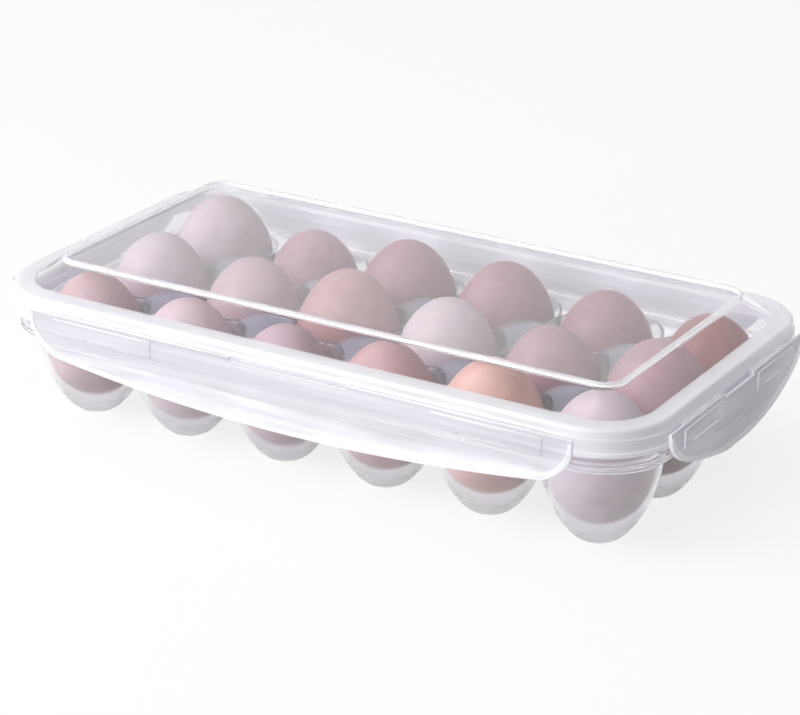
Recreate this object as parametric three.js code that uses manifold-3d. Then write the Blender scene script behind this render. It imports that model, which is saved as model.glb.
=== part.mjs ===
// Egg storage box: a clear tray with eighteen egg cups, a clear domed lid and four hinged latches.
// Millimetres, +Z up. The origin is on the surface that the cup feet stand on, under the middle
// of the box. The long sides run along X and the front is at -Y.

import * as THREE from 'three';
import { mergeVertices } from 'three/addons/utils/BufferGeometryUtils.js';
import Module from 'manifold-3d';

const wasm = await Module();
wasm.setup();

// Egg pattern
const cup_columns = 6;
const cup_rows = 3;
const cup_pitch = 50;

// Hen's eggs, broad end down, each a little larger or smaller than the nominal one
const egg_height = 55.5;
const egg_diameter = 44.6;
const egg_taper_share = 0.09;
const egg_clearance = 0.6;
const egg_size_shares = [
  [0.985, 0.965, 0.95, 0.98, 1.015, 0.99],
  [1.01, 0.99, 1.035, 1.005, 0.98, 1.03],
  [1.04, 0.965, 1.015, 1.01, 0.975, 0.97],
];

// Tray: cups, deck, posts between the eggs, upright wall, catch lip and rim
const tray_wall = 1.2;
const cup_mouth_radius = 25.5;
const cup_foot_radius = 6;
const cup_round_height = 38;
const cup_round_power = 1.25;
const deck_height = 44;
const post_radius = 15.5;
const post_height = 6;
const end_margin = 28.6;
const side_margin = 29.4;
const tray_corner_radius = 26.4;
const tray_draft = 0.4;
const wall_rise = 16.4;
const rim_reach = 1.2;
const rim_thickness = 1.6;
const lip_reach = 2.6;
const lip_thickness = 2;

// Lid: flat panel inside a stacking rib, sloping dome wall, flat flange and stepped skirt
const lid_wall = 1.3;
const lid_seat_gap = 0.3;
const lid_outset = 4.6;
const flange_width = 9;
const flange_edge_round = 1.5;
const dome_inset = 12.2;
const dome_rise = 8.6;
const panel_corner_radius = 10;
const stacking_rib_width = 2.4;
const stacking_rib_height = 1.6;
const skirt_height = 11.6;
const skirt_step = 0.8;
const skirt_step_drop = 3.9;
const skirt_bead = 0.7;
const skirt_bead_height = 1.7;
const plug_depth = 3;
const plug_thickness = 1.1;
const plug_clearance = 0.4;

// Latches: flaps on living hinges under the first step of the skirt
const latch_wall = 1.4;
const latch_gap = 0.3;
const hinge_drop = 5.1;
const hinge_web_thickness = 0.9;
const hinge_notch_depth = 1.4;
const flare_below_lip = 0.7;
const flare_reach = 1.8;
const thumb_bead_width = 1.7;
const thumb_bead_thickness = 0.4;
const latch_corner_length = 14;
const latch_corner_handle_share = 0.4;
const pad_thickness = 0.9;
const pad_drop = 9.2;
const pad_top_inset = 1.2;
const slot_height = 1;
const slot_inset = 0.9;
const catch_reach = 0.7;
const catch_gap = 0.4;
const catch_thickness = 2.4;
const long_latch = {
  length: 262,
  depth_below_lip: 11.8,
  end_depth_below_lip: 4.1,
  notch_length: 57,
  pad_centre: 93,
  pad_length: 50,
  slot_centre: 91,
  slot_length: 23,
  catch_centre: 90,
  catch_length: 44,
};
const short_latch = {
  length: 124,
  depth_below_lip: 8.8,
  end_depth_below_lip: 1.1,
  notch_length: 28,
  pad_centre: 34,
  pad_length: 34,
  slot_centre: 33,
  slot_length: 22,
  catch_centre: 27,
  catch_length: 20,
};

// Facets
const cup_facets = 16;
const cup_profile_steps = 4;
const post_facets = 12;
const post_profile_steps = 2;
const egg_facets = 12;
const egg_profile_steps = 6;
const corner_steps = 5;
const latch_arc_steps = 8;
const latch_corner_steps = 3;
const latch_edge_steps = 4;
const cut_overrun = 4;

// Colours: the plastic is a cool clear grey-white, and the shells run from pale lilac to peach
const clear_colour = 0xe6e9ef;
const egg_colours = {
  salmon: 0xbd9189,
  mauve: 0xb59aa2,
  peach: 0xc59e86,
  pale: 0xcbbcc6,
  lilac: 0xb8a8b5,
  rose: 0xb08d8e,
};
const egg_colour_names = [
  ['salmon', 'mauve', 'mauve', 'salmon', 'peach', 'pale'],
  ['lilac', 'mauve', 'salmon', 'pale', 'mauve', 'salmon'],
  ['lilac', 'mauve', 'rose', 'rose', 'rose', 'salmon'],
];

// Sizes that follow from the ones above
const cups_half_x = (cup_columns - 1) * cup_pitch / 2;
const cups_half_y = (cup_rows - 1) * cup_pitch / 2;
const tray_half_x = cups_half_x + end_margin;
const tray_half_y = cups_half_y + side_margin;
const lid_half_x = tray_half_x + lid_outset;
const lid_half_y = tray_half_y + lid_outset;
const lid_corner_radius = tray_corner_radius + lid_outset;
const flange_corner_radius = lid_corner_radius - flange_width;
const rim_height = deck_height + wall_rise;
const flange_top = rim_height + lid_seat_gap + lid_wall;
const skirt_bottom = flange_top - skirt_height;
const panel_top = flange_top + dome_rise;
const hinge_height = flange_top - hinge_drop;
const hinge_offset = skirt_step + skirt_bead + latch_gap + latch_wall / 2;
const lip_bottom = deck_height - lip_thickness;
const lip_drop = hinge_height - lip_bottom;
const flare_drop = lip_drop + flare_below_lip;

// Points of an upright curve that starts at the foot, stays convex and ends upright at the mouth
function cupProfile(steps) {
  const points = [];
  for (let k = 0; k <= steps; k++) {
    const angle = k / steps * Math.PI / 2;
    const widening = Math.sin(angle) ** cup_round_power;
    const radius = cup_foot_radius + (cup_mouth_radius - cup_foot_radius) * widening;
    const height = cup_round_height * (1 - Math.max(Math.cos(angle), 0) ** cup_round_power);
    points.push(new THREE.Vector2(radius, height));
  }
  return points;
}

// The same curve moved inward by the wall, square to itself
function offsetProfile(points, distance) {
  return points.map((point, k) => {
    const before = points[Math.max(k - 1, 0)];
    const after = points[Math.min(k + 1, points.length - 1)];
    const along = after.clone().sub(before).normalize();
    const rise_only = k === points.length - 1 ? new THREE.Vector2(0, 1) : along;
    const run_only = k === 0 ? new THREE.Vector2(1, 0) : rise_only;
    return new THREE.Vector2(point.x - distance * run_only.y, point.y + distance * run_only.x);
  });
}

const cup_outside = cupProfile(cup_profile_steps);
const cup_inside = offsetProfile(cup_outside, tray_wall);

// Height at which the inside of a cup is as wide as the given radius
function cupHeightAt(radius) {
  for (let k = 1; k < cup_inside.length; k++) {
    const low = cup_inside[k - 1];
    const high = cup_inside[k];
    if (radius <= high.x) {
      const share = Math.max((radius - low.x) / (high.x - low.x), 0);
      return low.y + share * (high.y - low.y);
    }
  }
  return cup_inside[cup_inside.length - 1].y;
}

function eggProfile(size_share) {
  const points = [];
  for (let k = 0; k <= egg_profile_steps; k++) {
    const angle = k / egg_profile_steps * Math.PI;
    const taper = 1 + egg_taper_share * Math.cos(angle);
    const at_pole = k === 0 || k === egg_profile_steps;
    const radius = at_pole ? 0 : egg_diameter / 2 * Math.sin(angle) * taper;
    const height = egg_height / 2 * (1 - Math.cos(angle));
    points.push(new THREE.Vector2(radius, height).multiplyScalar(size_share));
  }
  return points;
}

// An egg sinks into its cup until its side meets the wall; the tip never reaches the floor
function eggSeatHeight(profile) {
  let seat = cup_inside[0].y + egg_clearance;
  for (const point of profile) {
    const touching = cupHeightAt(point.x + egg_clearance) - point.y;
    if (point.y < egg_height / 2) seat = Math.max(seat, touching);
  }
  return seat;
}

// Geometry helpers: each returns a closed geometry whose faces point out

function revolve(profile, facets) {
  const geometry = new THREE.LatheGeometry(profile, facets);
  geometry.rotateX(Math.PI / 2);
  return geometry;
}

function roundedOutline(half_x, half_y, radius, height) {
  const points = [];
  const corner_signs = [[1, 1], [-1, 1], [-1, -1], [1, -1]];
  corner_signs.forEach(([sign_x, sign_y], quarter) => {
    for (let k = 0; k <= corner_steps; k++) {
      const angle = (quarter + k / corner_steps) * Math.PI / 2;
      const x = sign_x * (half_x - radius) + radius * Math.cos(angle);
      const y = sign_y * (half_y - radius) + radius * Math.sin(angle);
      points.push(new THREE.Vector3(x, y, height));
    }
  });
  return points;
}

// Skin through a list of outlines, with a flat cap on the first and on the last
function loft(outlines) {
  const count = outlines[0].length;
  const positions = outlines.flat().flatMap((point) => [point.x, point.y, point.z]);
  const indices = [];
  for (let ring = 0; ring + 1 < outlines.length; ring++) {
    for (let k = 0; k < count; k++) {
      const here = ring * count + k;
      const next = ring * count + (k + 1) % count;
      indices.push(here, next, next + count, here, next + count, here + count);
    }
  }
  const last = (outlines.length - 1) * count;
  for (let k = 1; k + 1 < count; k++) {
    indices.push(0, k + 1, k, last, last + k, last + k + 1);
  }
  const geometry = new THREE.BufferGeometry();
  geometry.setAttribute('position', new THREE.Float32BufferAttribute(positions, 3));
  geometry.setIndex(indices);
  return geometry;
}

function signedVolume(position, index) {
  const [a, b, c] = [new THREE.Vector3(), new THREE.Vector3(), new THREE.Vector3()];
  let volume = 0;
  for (let k = 0; k < index.length; k += 3) {
    a.fromBufferAttribute(position, index[k]);
    b.fromBufferAttribute(position, index[k + 1]);
    c.fromBufferAttribute(position, index[k + 2]);
    volume += a.dot(b.cross(c));
  }
  return volume;
}

// Merge the seams, drop the empty triangles at the poles and turn the faces outward
function clean(geometry) {
  const bare = geometry.clone();
  bare.deleteAttribute('normal');
  bare.deleteAttribute('uv');
  const merged = mergeVertices(bare);
  const source = merged.index.array;
  const kept = [];
  for (let k = 0; k < source.length; k += 3) {
    const [a, b, c] = [source[k], source[k + 1], source[k + 2]];
    if (a !== b && b !== c && c !== a) kept.push(a, b, c);
  }
  if (signedVolume(merged.getAttribute('position'), kept) < 0) kept.reverse();
  merged.setIndex(kept);
  return merged;
}

function solid(geometry) {
  const closed = clean(geometry);
  return new wasm.Manifold(new wasm.Mesh({
    numProp: 3,
    vertProperties: new Float32Array(closed.getAttribute('position').array),
    triVerts: new Uint32Array(closed.index.array),
  }));
}

function joined(solids) {
  return solids.reduce((whole, piece) => whole.add(piece));
}

function geometryOf(body) {
  const mesh = body.getMesh();
  const geometry = new THREE.BufferGeometry();
  geometry.setAttribute('position', new THREE.BufferAttribute(mesh.vertProperties, 3));
  geometry.setIndex(new THREE.BufferAttribute(mesh.triVerts, 1));
  geometry.computeVertexNormals();
  return geometry;
}

function cupCentres() {
  const centres = [];
  for (let row = 0; row < cup_rows; row++) {
    for (let column = 0; column < cup_columns; column++) {
      centres.push([column * cup_pitch - cups_half_x, row * cup_pitch - cups_half_y]);
    }
  }
  return centres;
}

function postCentres() {
  const centres = [];
  for (let row = 0; row + 1 < cup_rows; row++) {
    for (let column = 0; column + 1 < cup_columns; column++) {
      const x = (column + 1 / 2) * cup_pitch - cups_half_x;
      const y = (row + 1 / 2) * cup_pitch - cups_half_y;
      centres.push([x, y]);
    }
  }
  return centres;
}

// One revolved body repeated at every centre and joined
function repeated(profile, facets, centres) {
  return joined(centres.map(([x, y]) => solid(revolve(profile, facets).translate(x, y, 0))));
}

// Outline of the tray wall, moved outward by the given reach
function trayOutline(reach, height) {
  const draft = tray_draft * (height - deck_height) / (rim_height - deck_height);
  const grown = reach + draft;
  return roundedOutline(tray_half_x + grown, tray_half_y + grown, tray_corner_radius + grown, height);
}

// A ring round the tray from the middle of its wall out to the given reach
function trayRing(low, high, reach) {
  const inset = -tray_wall / 2;
  const outer = solid(loft([trayOutline(reach, low), trayOutline(reach, high)]));
  const core = loft([trayOutline(inset, low - cut_overrun), trayOutline(inset, high + cut_overrun)]);
  return outer.subtract(solid(core));
}

// Profile of a post: straight up to the deck, then a spherical cap of the given rise
function domeProfile(radius, height, base) {
  const cap_radius = (radius ** 2 + height ** 2) / (2 * height);
  const cap_angle = Math.asin(radius / cap_radius);
  const points = [new THREE.Vector2(0, base), new THREE.Vector2(radius, base)];
  for (let k = 0; k <= post_profile_steps; k++) {
    const angle = cap_angle * (1 - k / post_profile_steps);
    const rise = height - cap_radius * (1 - Math.cos(angle));
    points.push(new THREE.Vector2(cap_radius * Math.sin(angle), deck_height + rise));
  }
  return points;
}

// The cups and the deck are one skin: posts rise from the deck where four cups meet
function makeTray() {
  const deck_underside = deck_height - tray_wall;
  const above_posts = deck_height + post_height + cut_overrun;
  const closedCup = (side, top) => [
    new THREE.Vector2(0, side[0].y),
    ...side,
    new THREE.Vector2(side.at(-1).x, top),
    new THREE.Vector2(0, top),
  ];
  const cups = repeated(closedCup(cup_outside, deck_height), cup_facets, cupCentres());
  const tall_cups = repeated(closedCup(cup_outside, above_posts), cup_facets, cupCentres());
  const cup_hollows = repeated(closedCup(cup_inside, above_posts), cup_facets, cupCentres());
  const posts = repeated(
    domeProfile(post_radius, post_height, deck_underside),
    post_facets,
    postCentres(),
  );
  const post_cores = repeated(
    domeProfile(post_radius - tray_wall, post_height - tray_wall, deck_underside - cut_overrun),
    post_facets,
    postCentres(),
  );

  const block = solid(loft([trayOutline(0, deck_underside), trayOutline(0, rim_height)]));
  const basin = solid(loft([
    trayOutline(-tray_wall, deck_height),
    trayOutline(-tray_wall, rim_height + cut_overrun),
  ]));
  return block
    .add(cups)
    .add(trayRing(lip_bottom, deck_height, lip_reach))
    .add(trayRing(rim_height - rim_thickness, rim_height, rim_reach))
    .subtract(basin.subtract(posts))
    .subtract(post_cores.subtract(tall_cups))
    .subtract(cup_hollows);
}

// Outline of the lid, moved inward by the given inset from the outer edge of the flange
function lidOutline(inset, radius, height) {
  return roundedOutline(lid_half_x - inset, lid_half_y - inset, radius, height);
}

function makeLidShell() {
  const rib_outer = flange_width + dome_inset;
  const rib_inner = rib_outer + stacking_rib_width;
  const rib_top = panel_top + stacking_rib_height;
  const step_height = flange_top - skirt_step_drop;
  const bead_reach = skirt_step + skirt_bead;
  const bead_top = skirt_bottom + skirt_bead_height;
  const under = (height) => height - lid_wall;
  const inner_radius = panel_corner_radius - stacking_rib_width;
  return solid(loft([
    lidOutline(rib_inner + lid_wall, inner_radius, under(panel_top)),
    lidOutline(rib_outer + lid_wall / 2, panel_corner_radius, under(panel_top)),
    lidOutline(flange_width + lid_wall / 2, flange_corner_radius, under(flange_top)),
    lidOutline(lid_wall, lid_corner_radius - lid_wall, under(flange_top)),
    lidOutline(lid_wall, lid_corner_radius - lid_wall, step_height),
    lidOutline(lid_wall - skirt_step, lid_corner_radius - lid_wall + skirt_step, step_height - lid_wall),
    lidOutline(lid_wall - skirt_step, lid_corner_radius - lid_wall + skirt_step, skirt_bottom),
    lidOutline(-bead_reach, lid_corner_radius + bead_reach, skirt_bottom),
    lidOutline(-bead_reach, lid_corner_radius + bead_reach, bead_top),
    lidOutline(-skirt_step, lid_corner_radius + skirt_step, bead_top + skirt_bead),
    lidOutline(-skirt_step, lid_corner_radius + skirt_step, step_height - skirt_step),
    lidOutline(0, lid_corner_radius, step_height),
    lidOutline(0, lid_corner_radius, flange_top - flange_edge_round),
    lidOutline(flange_edge_round, lid_corner_radius - flange_edge_round, flange_top),
    lidOutline(flange_width, flange_corner_radius, flange_top),
    lidOutline(rib_outer, panel_corner_radius, panel_top),
    lidOutline(rib_outer, panel_corner_radius, rib_top),
    lidOutline(rib_inner, inner_radius, rib_top),
    lidOutline(rib_inner, inner_radius, panel_top),
  ]));
}

// Low rib under the flange that centres the lid inside the tray wall
function makePlug() {
  const outer_x = -tray_wall - plug_clearance;
  const inner_x = outer_x - plug_thickness;
  const top = flange_top - lid_wall / 2;
  const low = flange_top - lid_wall - plug_depth;
  const outer = loft([trayOutline(outer_x, low), trayOutline(outer_x, top)]);
  const inner = loft([trayOutline(inner_x, low - cut_overrun), trayOutline(inner_x, top + cut_overrun)]);
  return solid(outer).subtract(solid(inner));
}

// Shapes of a latch. Local frame: hinge axis along X through the origin, outward is -Y, up is +Z.

// Front outline of the flap: straight hinge edge with a notch, rounded ends and a bowed lower edge.
// The ends and the lower edge move in by the given inset.
function latchOutline(latch, inset) {
  const half = latch.length / 2 - inset;
  const notch = latch.notch_length / 2;
  const top = latch_wall / 2;
  const depth = lip_drop + latch.depth_below_lip - inset;
  const end_depth = lip_drop + latch.end_depth_below_lip - inset;
  const corner = Math.min(latch_corner_length, end_depth);
  const bow_half = half - corner;
  const bow = depth - end_depth;
  const bow_radius = (bow_half ** 2 + bow ** 2) / (2 * bow);
  const bow_angle = Math.asin(bow_half / bow_radius);
  const corner_top = corner - end_depth;
  const handle = corner * latch_corner_handle_share;
  const handle_x = bow_half + handle * Math.cos(bow_angle);
  const handle_y = handle * Math.sin(bow_angle) - end_depth;
  const shape = new THREE.Shape();
  shape.moveTo(notch, top);
  shape.lineTo(notch, -hinge_notch_depth);
  shape.lineTo(-notch, -hinge_notch_depth);
  shape.lineTo(-notch, top);
  shape.lineTo(-half, top);
  shape.lineTo(-half, corner_top);
  shape.bezierCurveTo(-half, corner_top - handle, -handle_x, handle_y, -bow_half, -end_depth);
  for (let k = 1; k < latch_arc_steps; k++) {
    const angle = bow_angle * (2 * k / latch_arc_steps - 1);
    shape.lineTo(bow_radius * Math.sin(angle), bow_radius * (1 - Math.cos(angle)) - depth);
  }
  shape.lineTo(bow_half, -end_depth);
  shape.bezierCurveTo(handle_x, handle_y, half, corner_top - handle, half, corner_top);
  shape.lineTo(half, top);
  return shape;
}

// Extrude a section drawn in outward and up along the hinge, from one place to another
function alongHinge(points, from, to) {
  const section = new THREE.Shape(points.map(([outward, up]) => new THREE.Vector2(-outward, up)));
  const geometry = new THREE.ExtrudeGeometry(section, { depth: to - from, bevelEnabled: false });
  geometry.rotateX(Math.PI / 2);
  geometry.rotateZ(Math.PI / 2);
  return geometry.translate(from, 0, 0);
}

function centredAlongHinge(points, centre, length) {
  return solid(alongHinge(points, centre - length / 2, centre + length / 2));
}

// How far the lower part of a flap leans out, at the given drop below the hinge
function flared(latch, drop) {
  return flare_reach * (drop - flare_drop) / (lip_drop + latch.depth_below_lip - flare_drop);
}

// Side section of the flap: round hinge edge, upright wall, then the flare that a thumb lifts
function latchSection(latch, low) {
  const half = latch_wall / 2;
  const points = [];
  for (let k = 0; k <= latch_edge_steps; k++) {
    const angle = k / latch_edge_steps * Math.PI;
    points.push([half * Math.cos(angle), half * Math.sin(angle)]);
  }
  points.push([-half, -flare_drop]);
  points.push([flared(latch, low) - half, -low]);
  points.push([flared(latch, low) + half, -low]);
  points.push([half, -flare_drop]);
  return points;
}

function makeLatch(latch) {
  const half = latch_wall / 2;
  const reach = flare_reach + latch_wall + cut_overrun;
  const low = lip_drop + latch.depth_below_lip + cut_overrun;
  const plate_options = { depth: 2 * reach, bevelEnabled: false, curveSegments: latch_corner_steps };
  const plate = (inset) => {
    const geometry = new THREE.ExtrudeGeometry(latchOutline(latch, inset), plate_options);
    return solid(geometry.rotateX(Math.PI / 2).translate(0, reach, 0));
  };
  const proud = half + thumb_bead_thickness;
  const bead = [
    [0, -pad_top_inset],
    [proud, -pad_top_inset],
    [proud, -flare_drop],
    [flared(latch, low) + proud, -low],
    [flared(latch, low), -low],
    [0, -flare_drop],
  ];
  const edge = plate(0).subtract(plate(thumb_bead_width));
  const span = latch.length + 2 * cut_overrun;
  let flap = plate(0)
    .intersect(centredAlongHinge(latchSection(latch, low), 0, span))
    .add(edge.intersect(centredAlongHinge(bead, 0, span)));

  const lip_edge = lip_reach - (lid_outset + hinge_offset);
  const catch_tip = lip_edge - catch_reach;
  const catch_top = -lip_drop - catch_gap;
  const pad_bottom = -pad_drop;
  for (const side of [-1, 1]) {
    const pad = [
      [0, -pad_top_inset],
      [half, -pad_top_inset],
      [half + pad_thickness, -pad_top_inset - pad_thickness],
      [half + pad_thickness, pad_bottom],
      [0, pad_bottom],
    ];
    const catch_rib = [
      [0, catch_top],
      [catch_tip, catch_top],
      [catch_tip, catch_top - catch_thickness / 2],
      [-half, catch_top - catch_thickness],
      [0, catch_top - catch_thickness],
    ];
    const slot_top = pad_bottom + slot_inset + slot_height;
    const slot = [
      [-reach, slot_top],
      [reach, slot_top],
      [reach, slot_top - slot_height],
      [-reach, slot_top - slot_height],
    ];
    flap = flap
      .add(centredAlongHinge(pad, side * latch.pad_centre, latch.pad_length))
      .add(centredAlongHinge(catch_rib, side * latch.catch_centre, latch.catch_length))
      .subtract(centredAlongHinge(slot, side * latch.slot_centre, latch.slot_length));
  }
  return flap;
}

// Web of the living hinge on the lid: from the skirt out to the latch, on both sides of the notch
function makeHingeWebs({ latch, wall_offset, turn }) {
  const web_out = lid_outset + skirt_step + skirt_bead;
  const section = [
    [lid_outset - lid_wall / 2, -hinge_web_thickness / 2],
    [web_out, -hinge_web_thickness / 2],
    [web_out, hinge_web_thickness / 2],
    [lid_outset - lid_wall / 2, hinge_web_thickness / 2],
  ];
  const outer_end = latch.length / 2 - latch_corner_length;
  const inner_end = latch.notch_length / 2;
  return [[-outer_end, -inner_end], [inner_end, outer_end]].map(([from, to]) => {
    const web = alongHinge(section, from, to).translate(0, -wall_offset, hinge_height);
    return solid(web.rotateZ(turn));
  });
}

const latch_places = [
  { name: 'latch_front', latch: long_latch, wall_offset: tray_half_y, turn: 0 },
  { name: 'latch_right', latch: short_latch, wall_offset: tray_half_x, turn: Math.PI / 2 },
  { name: 'latch_back', latch: long_latch, wall_offset: tray_half_y, turn: Math.PI },
  { name: 'latch_left', latch: short_latch, wall_offset: tray_half_x, turn: -Math.PI / 2 },
];

function makeLid() {
  const webs = latch_places.flatMap((place) => makeHingeWebs(place));
  return joined([makeLidShell(), makePlug(), ...webs]);
}

// Scene graph
const clear_plastic = (roughness) => new THREE.MeshStandardMaterial({
  color: clear_colour,
  roughness,
  metalness: 0,
  transparent: true,
  opacity: 0.35,
});

function named(name, geometry, material) {
  const mesh = new THREE.Mesh(geometry, material);
  mesh.name = name;
  return mesh;
}

const egg_box = new THREE.Group();
egg_box.add(named('tray', geometryOf(makeTray()), clear_plastic(0.12)));
egg_box.add(named('lid', geometryOf(makeLid()), clear_plastic(0.1)));

for (const { name, latch, wall_offset, turn } of latch_places) {
  const seat = new THREE.Group();
  seat.rotation.z = turn;
  const flap = named(name, geometryOf(makeLatch(latch)), clear_plastic(0.2));
  flap.position.set(0, -(wall_offset + lid_outset + hinge_offset), hinge_height);
  seat.add(flap);
  egg_box.add(seat);
}

// The entry of a table for a place in the egg pattern; a larger pattern starts the table again
function atPlace(table, row, column) {
  const line = table[row % table.length];
  return line[column % line.length];
}

cupCentres().forEach(([x, y], place) => {
  const row = Math.floor(place / cup_columns);
  const column = place % cup_columns;
  const profile = eggProfile(atPlace(egg_size_shares, row, column));
  const shell = new THREE.MeshStandardMaterial({
    color: egg_colours[atPlace(egg_colour_names, row, column)],
    roughness: 0.55,
    metalness: 0,
  });
  const geometry = clean(revolve(profile, egg_facets));
  geometry.computeVertexNormals();
  const egg = named(`egg_row${row + 1}_column${column + 1}`, geometry, shell);
  egg.position.set(x, y, eggSeatHeight(profile));
  egg_box.add(egg);
});

export default egg_box;
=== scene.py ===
# Looks of the egg storage box: fine meshes and materials for the tray, lid, latches and eggs.
import math

import bpy
import bmesh
import numpy as np
from mathutils import Matrix, Vector


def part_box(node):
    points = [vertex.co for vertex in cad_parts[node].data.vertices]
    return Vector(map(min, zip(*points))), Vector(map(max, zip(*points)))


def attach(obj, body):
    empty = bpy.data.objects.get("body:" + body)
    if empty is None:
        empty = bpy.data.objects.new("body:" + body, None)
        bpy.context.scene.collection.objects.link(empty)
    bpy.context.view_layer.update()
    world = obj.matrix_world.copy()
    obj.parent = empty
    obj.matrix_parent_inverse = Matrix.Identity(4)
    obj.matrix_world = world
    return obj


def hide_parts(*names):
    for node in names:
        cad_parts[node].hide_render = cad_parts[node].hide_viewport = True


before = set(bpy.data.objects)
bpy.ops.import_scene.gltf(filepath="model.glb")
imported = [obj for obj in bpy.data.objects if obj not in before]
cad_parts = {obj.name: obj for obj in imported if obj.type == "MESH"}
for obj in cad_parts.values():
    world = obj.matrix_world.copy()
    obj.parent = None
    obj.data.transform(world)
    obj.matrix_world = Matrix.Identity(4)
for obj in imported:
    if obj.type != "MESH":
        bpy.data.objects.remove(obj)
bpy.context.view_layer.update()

MM = 0.001

# Sizes in millimetres, the same as the model's: cups and tray
CUP_PITCH = 50
CUP_COLUMNS = 6
CUP_ROWS = 3
CUP_MOUTH = 25.5
CUP_FOOT = 6
CUP_ROUND = 38
CUP_POWER = 1.25
TRAY_HALF_X = 153.6
TRAY_HALF_Y = 79.4
TRAY_CORNER = 26.4
TRAY_WALL = 1.2
TRAY_DRAFT = 0.4
DECK = 44
RIM = 60.4
RIM_REACH = 1.2
RIM_THICKNESS = 1.6
LIP_REACH = 2.6
LIP_BOTTOM = DECK - 2
POST_RADIUS = 15.5
POST_HEIGHT = 6

# Lid
LID_OUTSET = 4.6
LID_HALF_X = TRAY_HALF_X + LID_OUTSET
LID_HALF_Y = TRAY_HALF_Y + LID_OUTSET
LID_CORNER = TRAY_CORNER + LID_OUTSET
LID_WALL = 1.3
LID_SEAT_GAP = 0.3
FLANGE_TOP = RIM + LID_SEAT_GAP + LID_WALL
FLANGE_WIDTH = 9
FLANGE_CORNER = LID_CORNER - FLANGE_WIDTH
PANEL_INSET = FLANGE_WIDTH + 12.2
PANEL_CORNER = 10
PANEL_TOP = FLANGE_TOP + 8.6
RIDGE_WIDTH = 2.4
RIDGE_HEIGHT = 1.6
SKIRT_BOTTOM = FLANGE_TOP - 11.6
SKIRT_STEP = 0.8
SKIRT_STEP_DROP = 3.9
SKIRT_BEAD = 0.7
SKIRT_BEAD_HEIGHT = 1.7
SKIRT_BEAD_SLOPE = 0.6
PLUG_DEPTH = 3
PLUG_THICKNESS = 1.1
PLUG_CLEARANCE = 0.4

# Latches, each seen from outside with its hinge axis as the zero of all heights
HINGE_Z = FLANGE_TOP - 5.1
LATCH_WALL = 1.4
LATCH_GAP = 0.3
HINGE_OUT = LID_OUTSET + SKIRT_STEP + SKIRT_BEAD + LATCH_GAP + LATCH_WALL / 2
WEB_THICKNESS = 0.9
NOTCH_DEPTH = 1.4
LIP_DROP = HINGE_Z - LIP_BOTTOM
FLARE_DROP = LIP_DROP + 0.7
FLARE_REACH = 1.8
BEAD_WIDTH = 1.7
BEAD_THICKNESS = 0.4
FLAP_CORNER = 14
FLAP_CORNER_HANDLE_SHARE = 0.4
PAD_THICKNESS = 0.9
PAD_TOP = -1.2
PAD_BOTTOM = -9.2
SLOT_INSET = 0.9
SLOT_HEIGHT = 1
CATCH_TOP = -LIP_DROP - 0.4
CATCH_TIP = LIP_REACH - HINGE_OUT - 0.7
CATCH_THICKNESS = 2.4
LONG_LATCH = dict(length=262, depth=LIP_DROP + 11.8, end_depth=LIP_DROP + 4.1, notch=57, pad=93, pad_length=50,
                  slot=91, slot_length=23, catch=90, catch_length=44, wall=TRAY_HALF_Y)
SHORT_LATCH = dict(length=124, depth=LIP_DROP + 8.8, end_depth=LIP_DROP + 1.1, notch=28, pad=34, pad_length=34,
                   slot=33, slot_length=22, catch=27, catch_length=20, wall=TRAY_HALF_X)
LATCHES = {
    "front": dict(LONG_LATCH, quarter_turns=0),
    "right": dict(SHORT_LATCH, quarter_turns=1),
    "back": dict(LONG_LATCH, quarter_turns=2),
    "left": dict(SHORT_LATCH, quarter_turns=3),
}

# Eggs
EGG_HEIGHT = 55.5
EGG_DIAMETER = 44.6
EGG_TAPER = 0.09

# How far cuts run past what they cut, and how fine the curves are
OVERRUN = 4
FLAP_OVERRUN = 6
PLATE_REACH = 12
CUP_STEPS = 22
CUP_FACETS = 64
POST_STEPS = 10
POST_FACETS = 48
EGG_STEPS = 40
EGG_FACETS = 72
TRAY_CORNER_STEPS = 14
LID_CORNER_STEPS = 16
FLAP_CORNER_STEPS = 14
FLAP_BOW_STEPS = 48
FLAP_CROWN_STEPS = 8


# Mesh helpers

def new_piece(name, verts, faces):
    """A closed mesh from points in millimetres, with its faces turned outward."""
    mesh = bpy.data.meshes.new(name)
    mesh.from_pydata([tuple(v) for v in np.asarray(verts, float) * MM], [], [tuple(f) for f in faces])
    mesh.validate()
    piece = bpy.data.objects.new(name, mesh)
    bpy.context.scene.collection.objects.link(piece)
    bm = bmesh.new()
    bm.from_mesh(mesh)
    bmesh.ops.recalc_face_normals(bm, faces=bm.faces)
    if bm.calc_volume(signed=True) < 0:
        bmesh.ops.reverse_faces(bm, faces=bm.faces)
    bm.to_mesh(mesh)
    bm.free()
    return piece


def fillet(points, radii, steps=3):
    """An open line of points with its corners rounded by the given radii."""
    out = [np.array(points[0], float)]
    for k in range(1, len(points) - 1):
        p, a, b = (np.array(points[j], float) for j in (k, k - 1, k + 1))
        to_a, to_b = a - p, b - p
        len_a, len_b = np.linalg.norm(to_a), np.linalg.norm(to_b)
        to_a, to_b = to_a / len_a, to_b / len_b
        angle = math.acos(np.clip(to_a @ to_b, -1, 1))
        reach = radii[k] / max(math.tan(angle / 2), 1e-6)
        reach = min(reach, 0.45 * len_a, 0.45 * len_b)
        if radii[k] <= 0 or reach < 1e-4 or angle > math.pi - 0.05:
            out.append(p)
            continue
        start, end = p + to_a * reach, p + to_b * reach
        for j in range(steps + 1):
            t = j / steps
            out.append((1 - t) ** 2 * start + 2 * t * (1 - t) * p + t ** 2 * end)
    out.append(np.array(points[-1], float))
    return out


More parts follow.
